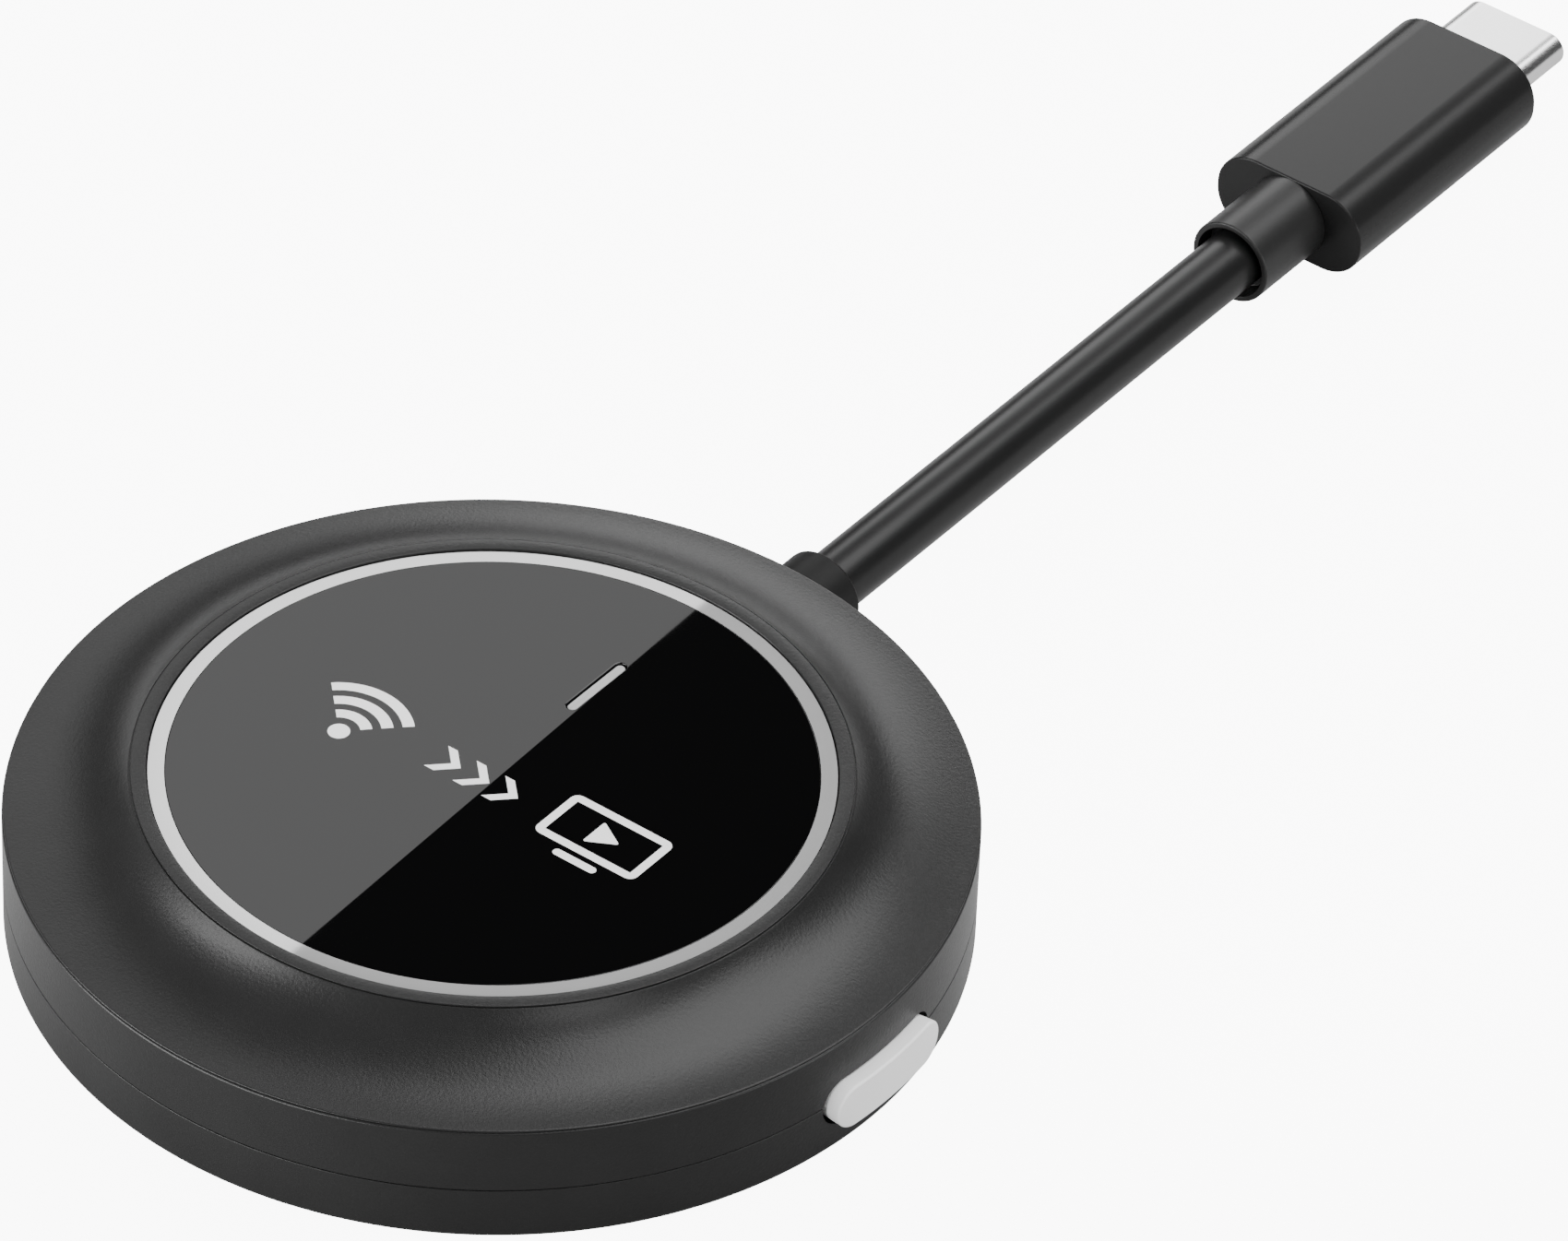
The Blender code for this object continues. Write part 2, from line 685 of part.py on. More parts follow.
def make_switch(axis):
    top = board_height - solder_gap
    half = switch_width / 2
    switch = new_part("switch_body", box_mesh((switch_back, -half, top - switch_height),
                                              (switch_front, half, top)), chip_black)
    mouth = plunger_width / 2 + pin_gap
    low = button_middle - plunger_height / 2
    high = button_middle + plunger_height / 2
    depth = plunger_grip + button_travel + 2 * seat_gap
    cut(switch, box_mesh((switch_front - depth, -mouth, low - pin_gap),
                         (switch_front + past, mouth, high + pin_gap)), "mouth")
    half = plunger_width / 2
    plunger = new_part("switch_plunger", box_mesh((switch_front - plunger_grip, -half, low),
                                                  (plunger_tip, half, high)), tin_plate)
    plunger.parent = axis
    plunger.matrix_parent_inverse = Matrix.Translation(axis.location).inverted()


# ---- lead ----

def relief_hole_mesh():
    return rod_mesh(relief_radius + slide_gap, inner_radius - 3 * past, case_radius + past, 0, relief_height)


def make_strain_relief():
    relief = new_part("strain_relief", rod_mesh(relief_radius, relief_inner_end, relief_outer_end,
                                                0, relief_height), cord_black)
    flange_end = relief_inner_end + relief_flange_wall
    guide = new_part("relief_guide", rod_mesh(relief_flange_radius, relief_inner_end, flange_end,
                                              0, relief_height), cord_black)
    flats = box_mesh((-2 * relief_flange_radius, 0, relief_height - relief_flat),
                     (2 * relief_flange_radius, case_radius, relief_height + relief_flat))
    tool = combine(guide, flats, "INTERSECT", "flats")
    flange = finished_mesh(guide)
    bpy.data.objects.remove(tool)
    bpy.data.objects.remove(guide)
    add(relief, flange, "flange")


def smooth_route(route, spacing):
    # points along a smooth curve through the route's own points
    points = [Vector(point) for point in route]
    ends = [2 * points[0] - points[1]] + points + [2 * points[-1] - points[-2]]
    line = []
    for index in range(len(points) - 1):
        before, start, end, after = ends[index:index + 4]
        count = max(1, round((end - start).length / spacing))
        for step in range(count):
            t = step / count
            line.append(0.5 * (2 * start + (end - before) * t
                               + (2 * before - 5 * start + 4 * end - after) * t ** 2
                               + (3 * start - before - 3 * end + after) * t ** 3))
    return line + [points[-1]]


def tube_part(name, line, radius, material, resolution):
    curve = bpy.data.curves.new(name, "CURVE")
    curve.dimensions = "3D"
    curve.bevel_depth = radius
    curve.bevel_resolution = resolution
    curve.use_fill_caps = True
    spline = curve.splines.new("POLY")
    spline.points.add(len(line) - 1)
    for point, place in zip(spline.points, line):
        point.co = (*place, 1)
    tube = bpy.data.objects.new(name, curve)
    curve.materials.append(material)
    parts.objects.link(tube)
    return tube


def make_lead():
    tube_part("lead_cord", smooth_route(cord_route, 4 * cord_radius), cord_radius, cord_black, 4)
    start = relief_inner_end - cord_gap
    end = header_end + cord_gap
    inner_route = [(0, start, relief_height), (0, start - inner_lead_radius, relief_height),
                   (0, lead_notch, inner_lead_level), (0, end, inner_lead_level)]
    tube_part("inner_lead", smooth_route(inner_route, 2 * inner_lead_radius), inner_lead_radius, cord_black, 2)


# ---- plug ----

def make_plug_sleeve():
    x = plug_middle.x
    z = plug_middle.z
    end = sleeve_back + sleeve_length
    sleeve = new_part("plug_sleeve", rod_mesh(sleeve_radius, sleeve_back, end, x, z), plug_black)
    cut(sleeve, rod_mesh(sleeve_mouth_radius, sleeve_back - past, sleeve_back + sleeve_mouth_depth, x, z),
        "mouth")
    add(sleeve, rod_mesh(sleeve_neck_radius, end - past, end + sleeve_neck_length, x, z, 24), "neck")


def make_plug_body():
    x = plug_middle.x
    z = plug_middle.z
    outline = pill(plug_width, plug_thickness, plug_corner, 8)
    body = new_part("plug_body", standing_slab(outline, plug_back, plug_front, x, z), plug_black)
    gap = seat_gap
    mouth = pill(shell_width + 2 * gap, shell_thickness + 2 * gap, shell_thickness / 2 + gap, 4)
    pocket_front = plug_front - shell_inside - gap
    cut(body, standing_slab(mouth, pocket_front - past, plug_front + past, x, z), "shell_mouth")
    pocket = pill(plug_width - 2 * plug_side_wall, plug_thickness - 2 * plug_wall, plug_wall, 3)
    cut(body, standing_slab(pocket, plug_back + plug_wall, pocket_front, x, z), "pocket")
    cut(body, rod_mesh(sleeve_neck_radius + gap, plug_back - past, plug_back + plug_wall + past, x, z, 24),
        "neck")


def make_plug_shell():
    x = plug_middle.x
    z = plug_middle.z
    back = plug_front - shell_inside
    tip = plug_front + shell_reach
    outline = pill(shell_width, shell_thickness, shell_thickness / 2, 6)
    shell = new_part("plug_shell", standing_slab(outline, back, tip, x, z), shell_steel)
    bore = pill(shell_width - 2 * shell_wall, shell_thickness - 2 * shell_wall,
                shell_thickness / 2 - shell_wall, 6)
    cut(shell, standing_slab(bore, back - past, tip + past, x, z), "bore")


def make_plug_insert():
    x = plug_middle.x
    z = plug_middle.z
    gap = shell_wall + pin_gap
    back = plug_front - shell_inside + insert_back
    outline = pill(shell_width - 2 * gap, shell_thickness - 2 * gap, shell_thickness / 2 - gap, 6)
    insert = new_part("plug_insert", standing_slab(outline, back, insert_front, x, z), insert_black)
    half_width = mouth_width / 2
    half_height = mouth_height / 2
    cut(insert, box_mesh((x - half_width, insert_front - mouth_depth, z - half_height),
                         (x + half_width, insert_front + past, z + half_height)), "mouth")


def make_contacts():
    x = plug_middle.x
    back = insert_front - mouth_depth + seat_gap
    span = (contact_count - 1) * contact_pitch / 2
    half = contact_width / 2
    for row, side in (("upper", 1), ("lower", -1)):
        middle = plug_middle.z + side * (mouth_height / 2 - pin_gap - contact_thickness / 2)
        low = middle - contact_thickness / 2
        high = middle + contact_thickness / 2
        bar = box_mesh((x - span - half, back, low), (x + span + half, back + contact_bar, high))
        comb = new_part("contact_row_" + row, bar, gold_contact)
        for index in range(contact_count):
            place = x - span + index * contact_pitch
            finger = box_mesh((place - half, back + contact_bar / 2, low),
                              (place + half, back + contact_length, high))
            add(comb, finger, "finger_%d" % index)


def make_plug_board():
    x = plug_middle.x
    z = plug_middle.z
    front = plug_front - shell_inside - seat_gap - pin_gap
    half_width = plug_board_width / 2
    half_height = plug_board_thickness / 2
    new_part("plug_board", box_mesh((x - half_width, front - plug_board_length, z - half_height),
                                    (x + half_width, front, z + half_height)), board_green)


make_top_cover()
make_side_band()
make_base_cover()
make_foot()
make_window()
make_mask()
make_light_ring()
make_status_pipe()
make_main_board()
make_components()
make_shield()
make_heat_spreader()
make_case_screws()
make_button()
make_strain_relief()
make_lead()
make_plug_sleeve()
make_plug_body()
make_plug_shell()
make_plug_insert()
make_contacts()
make_plug_board()
print("parts:", sum(1 for part in parts.objects if part.type != "EMPTY"))
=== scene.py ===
from math import acos, cos, hypot, pi, radians, sin, tan

import bmesh
import bpy
from mathutils import Matrix, Vector


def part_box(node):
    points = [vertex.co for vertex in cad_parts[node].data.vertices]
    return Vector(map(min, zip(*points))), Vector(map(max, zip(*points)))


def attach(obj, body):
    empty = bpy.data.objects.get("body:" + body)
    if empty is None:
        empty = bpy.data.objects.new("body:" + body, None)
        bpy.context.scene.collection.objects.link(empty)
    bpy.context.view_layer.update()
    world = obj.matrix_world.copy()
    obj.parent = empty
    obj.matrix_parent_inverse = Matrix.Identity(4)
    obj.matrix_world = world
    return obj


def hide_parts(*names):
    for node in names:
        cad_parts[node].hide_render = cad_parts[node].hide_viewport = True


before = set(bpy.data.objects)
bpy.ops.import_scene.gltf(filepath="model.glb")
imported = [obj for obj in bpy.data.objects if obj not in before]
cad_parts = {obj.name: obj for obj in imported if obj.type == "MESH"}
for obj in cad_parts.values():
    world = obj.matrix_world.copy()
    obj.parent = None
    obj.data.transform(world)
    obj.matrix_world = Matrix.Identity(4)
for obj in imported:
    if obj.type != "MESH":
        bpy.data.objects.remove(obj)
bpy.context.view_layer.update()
mm = 0.001
full = 2 * pi


def clearSelection():
    if bpy.context.mode != "OBJECT":
        bpy.ops.object.mode_set(mode="OBJECT")
    bpy.ops.object.select_all(action="DESELECT")


def makeActive(piece):
    clearSelection()
    piece.select_set(True)
    bpy.context.view_layer.objects.active = piece


def openMesh(piece):
    makeActive(piece)
    bpy.ops.object.mode_set(mode="EDIT")


def choose(what, test):
    # picks the faces or edges of the open mesh whose middle and direction pass the test
    bpy.ops.mesh.select_mode(type=what)
    bpy.ops.mesh.select_all(action="DESELECT")
    mesh = bpy.context.object.data
    shape = bmesh.from_edit_mesh(mesh)
    shape.normal_update()
    if what == "FACE":
        for face in shape.faces:
            face.select_set(test(face.calc_center_median() / mm, face.normal))
    else:
        for edge in shape.edges:
            first, second = (corner.co for corner in edge.verts)
            edge.select_set(test((first + second) / 2 / mm, (second - first).normalized()))
    bmesh.update_edit_mesh(mesh)


def closeUp(merge=0.0005):
    # welds the open mesh and turns its faces outwards
    bpy.ops.mesh.select_mode(type="VERT")
    bpy.ops.mesh.select_all(action="SELECT")
    bpy.ops.mesh.remove_doubles(threshold=merge * mm)
    bpy.ops.mesh.normals_make_consistent(inside=False)
    bpy.ops.object.mode_set(mode="OBJECT")
    bpy.ops.object.transform_apply(location=True, rotation=True, scale=True)


def softened(corners, closed=True, bits=4):
    # corner points (across, up, rounding) in mm, with each rounding drawn as an arc
    line = []
    count = len(corners)
    for index, corner in enumerate(corners):
        here = Vector(corner[:2])
        radius = corner[2] if len(corner) > 2 else 0
        if not radius or (not closed and index in (0, count - 1)):
            line.append(tuple(here))
            continue
        back = (Vector(corners[index - 1][:2]) - here).normalized()
        on = (Vector(corners[(index + 1) % count][:2]) - here).normalized()
        half = acos(max(-1, min(1, back.dot(on)))) / 2
        if half > radians(89):
            line.append(tuple(here))
            continue
        centre = here + (back + on).normalized() * radius / sin(half)
        start = here + back * radius / tan(half) - centre
        end = here + on * radius / tan(half) - centre
        sweep = start.angle_signed(end)
        for step in range(bits + 1):
            turned = start.copy()
            turned.rotate(Matrix.Rotation(-sweep * step / bits, 2))
            line.append(tuple(centre + turned))
    return line


def drawLine(name, points):
    # one corner, pushed out along the line point by point
    clearSelection()
    bpy.ops.mesh.primitive_plane_add(size=mm, location=Vector(points[0]) * mm)
    piece = bpy.context.object
    piece.name = name
    piece.data.name = name
    bpy.ops.object.mode_set(mode="EDIT")
    bpy.ops.mesh.select_mode(type="VERT")
    bpy.ops.mesh.merge(type="CENTER")
    for before, after in zip(points, points[1:]):
        step = (Vector(after) - Vector(before)) * mm
        bpy.ops.mesh.extrude_vertices_move(TRANSFORM_OT_translate={"value": step})
    return piece


def turned(name, outline, steps=192, along="Z", middle=(0, 0, 0), closed=True):
    # an outline of (radius, height) in mm, turned once round Z or Y
    x, y, z = middle
    ring = outline + outline[:1] if closed else outline
    if along == "Z":
        points = [(x + radius, y, z + height) for radius, height in ring]
    else:
        points = [(x, y + height, z + radius) for radius, height in ring]
    piece = drawLine(name, points)
    bpy.ops.mesh.select_all(action="SELECT")
    bpy.ops.mesh.remove_doubles(threshold=0.0005 * mm)
    bpy.ops.mesh.select_all(action="SELECT")
    bpy.ops.mesh.spin(steps=steps, angle=full, center=Vector(middle) * mm,
                      axis=(0, 0, 1) if along == "Z" else (0, 1, 0))
    closeUp()
    return piece


def block(name, outline, start, end, along="Y", middle=(0, 0)):
    # a flat outline in mm, filled and pushed through from start to end
    across, up = middle
    if along == "Y":
        points = [(across + a, start, up + b) for a, b in outline]
        push = (0, end - start, 0)
    elif along == "X":
        points = [(start, across + a, up + b) for a, b in outline]
        push = (end - start, 0, 0)
    else:
        points = [(across + a, up + b, start) for a, b in outline]
        push = (0, 0, end - start)
    piece = drawLine(name, points)
    bpy.ops.mesh.select_all(action="SELECT")
    bpy.ops.mesh.edge_face_add()
    bpy.ops.mesh.extrude_region_move(TRANSFORM_OT_translate={"value": Vector(push) * mm})
    closeUp()
    return piece


def pill(width, height, corner, bits=12):
    across, up = width / 2, height / 2
    return softened([(across, up, corner), (-across, up, corner), (-across, -up, corner),
                     (across, -up, corner)], bits=bits)


def carve(piece, tool, operation="DIFFERENCE"):
    makeActive(piece)
    step = piece.modifiers.new("carve", "BOOLEAN")
    step.operation = operation
    step.object = tool
    step.solver = "EXACT"
    bpy.ops.object.modifier_apply(modifier=step.name)
    bpy.data.objects.remove(tool)


def joined(name, pieces):
    makeActive(pieces[0])
    for piece in pieces:
        piece.select_set(True)
    bpy.ops.object.join()
    pieces[0].name = name
    pieces[0].data.name = name
    return pieces[0]


def settle(piece, finish, body, stands=(), crease=32):
    # smooth shading, finish, and the body it rides on
    makeActive(piece)
    if piece.type == "MESH":
        bpy.ops.object.shade_smooth_by_angle(angle=radians(crease))
        # keeps flat faces flat beside their rounded edges
        even = piece.modifiers.new("even", "WEIGHTED_NORMAL")
        even.keep_sharp = True
        bpy.ops.object.modifier_apply(modifier=even.name)
    piece.data.materials.clear()
    piece.data.materials.append(finish)
    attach(piece, body)
    if stands:
        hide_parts(*stands)
    return piece


class Link:
    # a node's output that takes part in sums
    def __init__(self, finish, socket):
        self.finish = finish
        self.socket = socket

    def math(self, operation, *others):
        return self.finish.node("ShaderNodeMath", {"operation": operation}, self, *others)

    def __add__(self, other):
        return self.math("ADD", other)

    def __sub__(self, other):
        return self.math("SUBTRACT", other)

    def __mul__(self, other):
        return self.math("MULTIPLY", other)

    def __rsub__(self, other):
        return self.finish.node("ShaderNodeMath", {"operation": "SUBTRACT"}, other, self)

    __radd__ = __add__
    __rmul__ = __mul__

    def fade(self, low, high, start=0.0, end=1.0):
        return self.finish.node("ShaderNodeMapRange", {"interpolation_type": "SMOOTHSTEP"}, self, low, high,
                                start, end)


class Finish:
    # a material and the nodes that feed its Principled shader
    def __init__(self, name, colour, roughness, metallic=0.0, **fixed):
        self.material = bpy.data.materials.new(name)
        self.material.use_nodes = True
        self.tree = self.material.node_tree
        self.shader = self.tree.nodes["Principled BSDF"]
        self.colour = (*colour, 1)
        self.set("Base Color", self.colour)
        self.set("Roughness", roughness)
        self.set("Metallic", metallic)
        self.material.diffuse_color = self.colour
        for socket, value in fixed.items():
            self.set(socket, value)

    def feed(self, target, value):
        if isinstance(value, Link):
            self.tree.links.new(value.socket, target)
        else:
            target.default_value = value

    def node(self, kind, settings=None, *values, output=0, **named):
        made = self.tree.nodes.new(kind)
        for key, value in (settings or {}).items():
            setattr(made, key, value)
        for place, value in enumerate(values):
            self.feed(made.inputs[place], value)
        for key, value in named.items():
            self.feed(made.inputs[key], value)
        return Link(self, made.outputs[output])

    def set(self, socket, value):
        self.feed(self.shader.inputs[socket], value)

    def place(self):
        return self.node("ShaderNodeTexCoord", output=3)

    def axis(self, index):
        return self.node("ShaderNodeSeparateXYZ", None, self.place(), output=index)

    def stretched(self, scale):
        return self.node("ShaderNodeMapping", None, self.place(), Scale=scale)

    def noise(self, scale, detail=2.0, rough=0.5, where=None):
        # scale in bumps per metre
        return self.node("ShaderNodeTexNoise", None, Vector=where or self.place(), Scale=scale,
                         Detail=detail, Roughness=rough)

    def blend(self, factor, first, second):
        # sockets 6, 7 and 2 are the Mix node's colours and its mixed colour
        mixed = self.node("ShaderNodeMix", {"data_type": "RGBA"}, factor, output=2)
        sockets = mixed.socket.node.inputs
        self.feed(sockets[6], first)
        self.feed(sockets[7], second)
        return mixed

    def bump(self, height, strength, distance):
        relief = self.node("ShaderNodeBump", None, Strength=strength, Distance=distance, Height=height)
        self.set("Normal", relief)


def shade(value):
    return (value, value, value, 1)


def grainedPlastic(name, tone, roughness, grain=4500, depth=0.016, strength=1.0):
    # spark-eroded mould grain: fine pits over a faint slow mottle
    finish = Finish(name, (tone, tone, tone * 1.02), roughness, **{"Specular IOR Level": 0.25})
    pits = finish.noise(grain, 3.0, 0.6)
    cloud = finish.noise(180, 2.0)
    finish.set("Base Color", finish.blend(cloud.fade(0.3, 0.7), shade(tone * 0.94), shade(tone * 1.06)))
    finish.set("Roughness", pits * 0.10 + (roughness - 0.05) + cloud * 0.02)
    finish.bump(pits, strength, depth * mm)
    return finish.material


def satinJacket(name, tone, roughness, gloss=0.25, relief=0.06):
    # extruded or moulded soft plastic: very fine orange peel
    finish = Finish(name, (tone, tone, tone * 1.03), roughness, **{"Specular IOR Level": gloss})
    peel = finish.noise(2600, 2.0)
    cloud = finish.noise(140, 2.0)
    finish.set("Roughness", cloud * 0.04 + peel * 0.02 + (roughness - 0.03))
    finish.set("Base Color", finish.blend(cloud, shade(tone * 0.92), shade(tone * 1.08)))
    finish.bump(peel, relief, 0.004 * mm)
    return finish.material


def polishedBlack():
    finish = Finish("polishedBlack", (0.0015, 0.0015, 0.0016), 0.01, IOR=1.5)
    smear = finish.noise(60, 3.0)
    finish.set("Roughness", smear.fade(0.45, 0.75, 0.0, 0.012))
    return finish.material


def ringDiffuser():
    # pearl white light guide, polished like the window beside it
    finish = Finish("ringDiffuser", (0.68, 0.68, 0.68), 0.02, 0.6)
    milk = finish.noise(420, 2.0)
    finish.set("Base Color", finish.blend(milk, shade(0.66), shade(0.70)))
    return finish.material


def statusDiffuser():
    finish = Finish("statusDiffuser", (0.4, 0.4, 0.4), 0.25, **{"Coat Weight": 0.6, "Coat Roughness": 0.05})
    milk = finish.noise(900, 2.0)
    finish.set("Base Color", finish.blend(milk, shade(0.36), shade(0.44)))
    return finish.material


def whiteInk():
    finish = Finish("whiteInk", (0.86, 0.86, 0.86), 0.4, **{"Coat Weight": 1.0, "Coat Roughness": 0.02})
    speck = finish.noise(9000, 2.0)
    finish.set("Base Color", finish.blend(speck.fade(0.35, 0.6), shade(0.92), shade(0.96)))
    return finish.material


def buttonPlastic():
    finish = Finish("buttonPlastic", (0.62, 0.62, 0.62), 0.42)
    pits = finish.noise(6500, 3.0, 0.6)
    cloud = finish.noise(260, 2.0)
    finish.set("Base Color", finish.blend(cloud, shade(0.90), shade(0.94)))
    finish.set("Roughness", pits * 0.08 + 0.38)
    finish.bump(pits, 0.2, 0.003 * mm)
    return finish.material


def platedSteel():
    # bright plating with faint drawing lines along the plug
    finish = Finish("platedSteel", (0.78, 0.78, 0.78), 0.24, 1.0)
    lines = finish.noise(1200, 3.0, 0.6, where=finish.stretched((6, 0.25, 6)))
    cloud = finish.noise(300, 2.0)
    finish.set("Base Color", finish.blend(cloud, shade(0.74), shade(0.82)))
    finish.set("Roughness", lines * 0.015 + 0.23)
    return finish.material


def goldPlate():
    finish = Finish("goldPlate", (0.85, 0.60, 0.22), 0.25, 1.0)
    wear = finish.noise(2500, 3.0)
    finish.set("Base Color", finish.blend(wear, (0.80, 0.55, 0.20, 1), (0.92, 0.68, 0.30, 1)))
    finish.set("Roughness", wear * 0.12 + 0.18)
    return finish.material


def footRubber():
    finish = Finish("footRubber", (0.02, 0.02, 0.02), 0.8)
    crumb = finish.noise(3800, 4.0, 0.65)
    finish.set("Base Color", finish.blend(crumb.fade(0.3, 0.7), shade(0.016), shade(0.026)))
    finish.set("Roughness", crumb * 0.15 + 0.72)
    finish.bump(crumb, 0.5, 0.01 * mm)
    return finish.material


def mouldedBlack():
    finish = Finish("mouldedBlack", (0.014, 0.014, 0.014), 0.5)
    speck = finish.noise(3000, 3.0)
    finish.set("Base Color", finish.blend(speck, shade(0.011), shade(0.018)))
    finish.set("Roughness", speck * 0.15 + 0.42)
    return finish.material


def solderMask():
    finish = Finish("solderMask", (0.02, 0.12, 0.06), 0.35)
    tracks = finish.node("ShaderNodeTexVoronoi", {"distance": "MANHATTAN", "feature": "DISTANCE_TO_EDGE"},
                         Vector=finish.place(), Scale=520.0)
    copper = tracks.fade(0.03, 0.07)
    finish.set("Base Color", finish.blend(copper, (0.03, 0.17, 0.08, 1), (0.012, 0.09, 0.045, 1)))
    finish.set("Roughness", copper * 0.12 + 0.3)
    finish.bump(copper, 0.3, 0.02 * mm)
    return finish.material


def tinned(name, tone, roughness):
    finish = Finish(name, (tone, tone, tone * 0.98), roughness, 1.0)
    cloud = finish.noise(900, 3.0)
    finish.set("Roughness", cloud * 0.14 + (roughness - 0.07))
    finish.set("Base Color", finish.blend(cloud, shade(tone * 0.93), shade(tone * 1.05)))
    return finish.material


def mottled(name, dark, light, roughness, scale=1500):
    finish = Finish(name, light[:3], roughness)
    cloud = finish.noise(scale, 3.0)
    finish.set("Base Color", finish.blend(cloud, dark, light))
    finish.set("Roughness", cloud * 0.1 + (roughness - 0.05))
    return finish.material


finishes = {
    "cover": grainedPlastic("coverPlastic", 0.0122, 0.30),
    "case": grainedPlastic("casePlastic", 0.0125, 0.32),
    "jacket": satinJacket("leadJacket", 0.009, 0.30, 0.2),
    "boss": satinJacket("bossPlastic", 0.0085, 0.45, 0.10),
    "grip": satinJacket("gripPlastic", 0.012, 0.26, 0.14, 0.01),
    "sleeve": satinJacket("sleevePlastic", 0.014, 0.36, 0.24, 0.01),
    "window": polishedBlack(),
    "ring": ringDiffuser(),
    "status": statusDiffuser(),
    "ink": whiteInk(),
    "button": buttonPlastic(),
    "steel": platedSteel(),
    "gold": goldPlate(),
    "foot": footRubber(),
    "moulded": mouldedBlack(),
    "board": solderMask(),
    "tin": tinned("tinPlate", 0.62, 0.35),
    "spreader": tinned("pressedAluminium", 0.70, 0.4),
    "screw": tinned("zincPlate", 0.36, 0.35),
    "pad": mottled("siliconePad", (0.50, 0.27, 0.31, 1), (0.60, 0.34, 0.38, 1), 0.8),
    "lamp": mottled("lampResin", (0.70, 0.66, 0.50, 1), (0.80, 0.77, 0.66, 1), 0.4),
    "ferrite": mottled("ferrite", (0.10, 0.10, 0.10, 1), (0.14, 0.14, 0.14, 1), 0.7),
}
print("finishes:", len(finishes))


camera = {
    "place": (320.168, -411.088, 451.762),
    "target": (-3.292, 35.762, 0.2),
    "roll": 2.3757,
    "lens": 243.2,
}


def setCamera():
    place = Vector(camera["place"]) * mm
    target = Vector(camera["target"]) * mm
    bpy.ops.object.camera_add(location=place)
    eye = bpy.context.object
    eye.name = "camera"
    aim = (target - place).to_track_quat("-Z", "Y").to_matrix()
    turn = aim @ Matrix.Rotation(radians(camera["roll"]), 3, "Z")
    eye.rotation_euler = turn.to_euler()
    eye.data.lens = camera["lens"]
    eye.data.sensor_width = 36
    eye.data.clip_end = 20
    eye.data.clip_start = 0.01
    bpy.context.scene.camera = eye


setCamera()


lead = {
    "radius": 2.2,
    "route": [(0.00, 35.0, 4.70), (0.00, 35.9, 4.70), (-0.08, 44.0, 4.60), (-0.27, 52.0, 4.34),
              (-0.53, 60.0, 4.00), (-0.79, 68.0, 3.66), (-1.00, 76.0, 3.39), (-1.10, 85.3, 3.25)],
    "points": 25,
    "exit": (0.0, 35.6, 4.70),
}


def smoothLine(route, count):
    # evenly spaced points on a smooth curve through the route
    points = [Vector(point) for point in route]
    ends = [2 * points[0] - points[1]] + points + [2 * points[-1] - points[-2]]
    fine = []
    for before, start, end, after in zip(ends, ends[1:], ends[2:], ends[3:]):
        for step in range(24):
            t = step / 24
            fine.append(0.5 * (2 * start + (end - before) * t + (2 * before - 5 * start + 4 * end - after) * t ** 2
                               + (3 * start - before - 3 * end + after) * t ** 3))
    fine.append(points[-1])
    lengths = [0]
    for first, second in zip(fine, fine[1:]):
        lengths.append(lengths[-1] + (second - first).length)
    line = []
    for index in range(count):
        goal = lengths[-1] * index / (count - 1)
        spot = max(i for i, run in enumerate(lengths) if run <= goal + 0.000001)
        if spot == len(fine) - 1:
            line.append(fine[-1])
        else:
            share = (goal - lengths[spot]) / (lengths[spot + 1] - lengths[spot])
            line.append(fine[spot].lerp(fine[spot + 1], share))
    return line, lengths[-1]


def makeLead():
    line, length = smoothLine(lead["route"], lead["points"])
    curve = bpy.data.curves.new("leadJacketTube", "CURVE")
    curve.dimensions = "3D"
    curve.bevel_depth = lead["radius"] * mm
    curve.bevel_resolution = 20
    curve.use_fill_caps = True
    spline = curve.splines.new("POLY")
    spline.points.add(len(line) - 1)
    for point, place in zip(spline.points, line):
        point.co = (*(place * mm), 1)
    spline.use_smooth = True
    tube = bpy.data.objects.new("leadJacketTube", curve)
    bpy.context.scene.collection.objects.link(tube)
    settle(tube, finishes["jacket"], "case", ["lead_cord"])
    return tube, length * mm


leadTube, leadLength = makeLead()
print("lead: %.1f mm" % (leadLength / mm))


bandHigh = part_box("side_band")[1] / mm
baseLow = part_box("base_cover")[0] / mm
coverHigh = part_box("top_cover")[1] / mm
windowLow, windowHigh = (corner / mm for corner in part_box("front_window"))
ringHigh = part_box("light_ring")[1] / mm
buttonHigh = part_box("button_cap")[1] / mm
reliefLow, reliefHigh = (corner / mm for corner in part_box("strain_relief"))
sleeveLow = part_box("plug_sleeve")[0] / mm
plugLow, plugHigh = (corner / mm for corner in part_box("plug_body"))
shellLow, shellHigh = (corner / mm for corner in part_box("plug_shell"))
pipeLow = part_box("status_light_pipe")[0] / mm

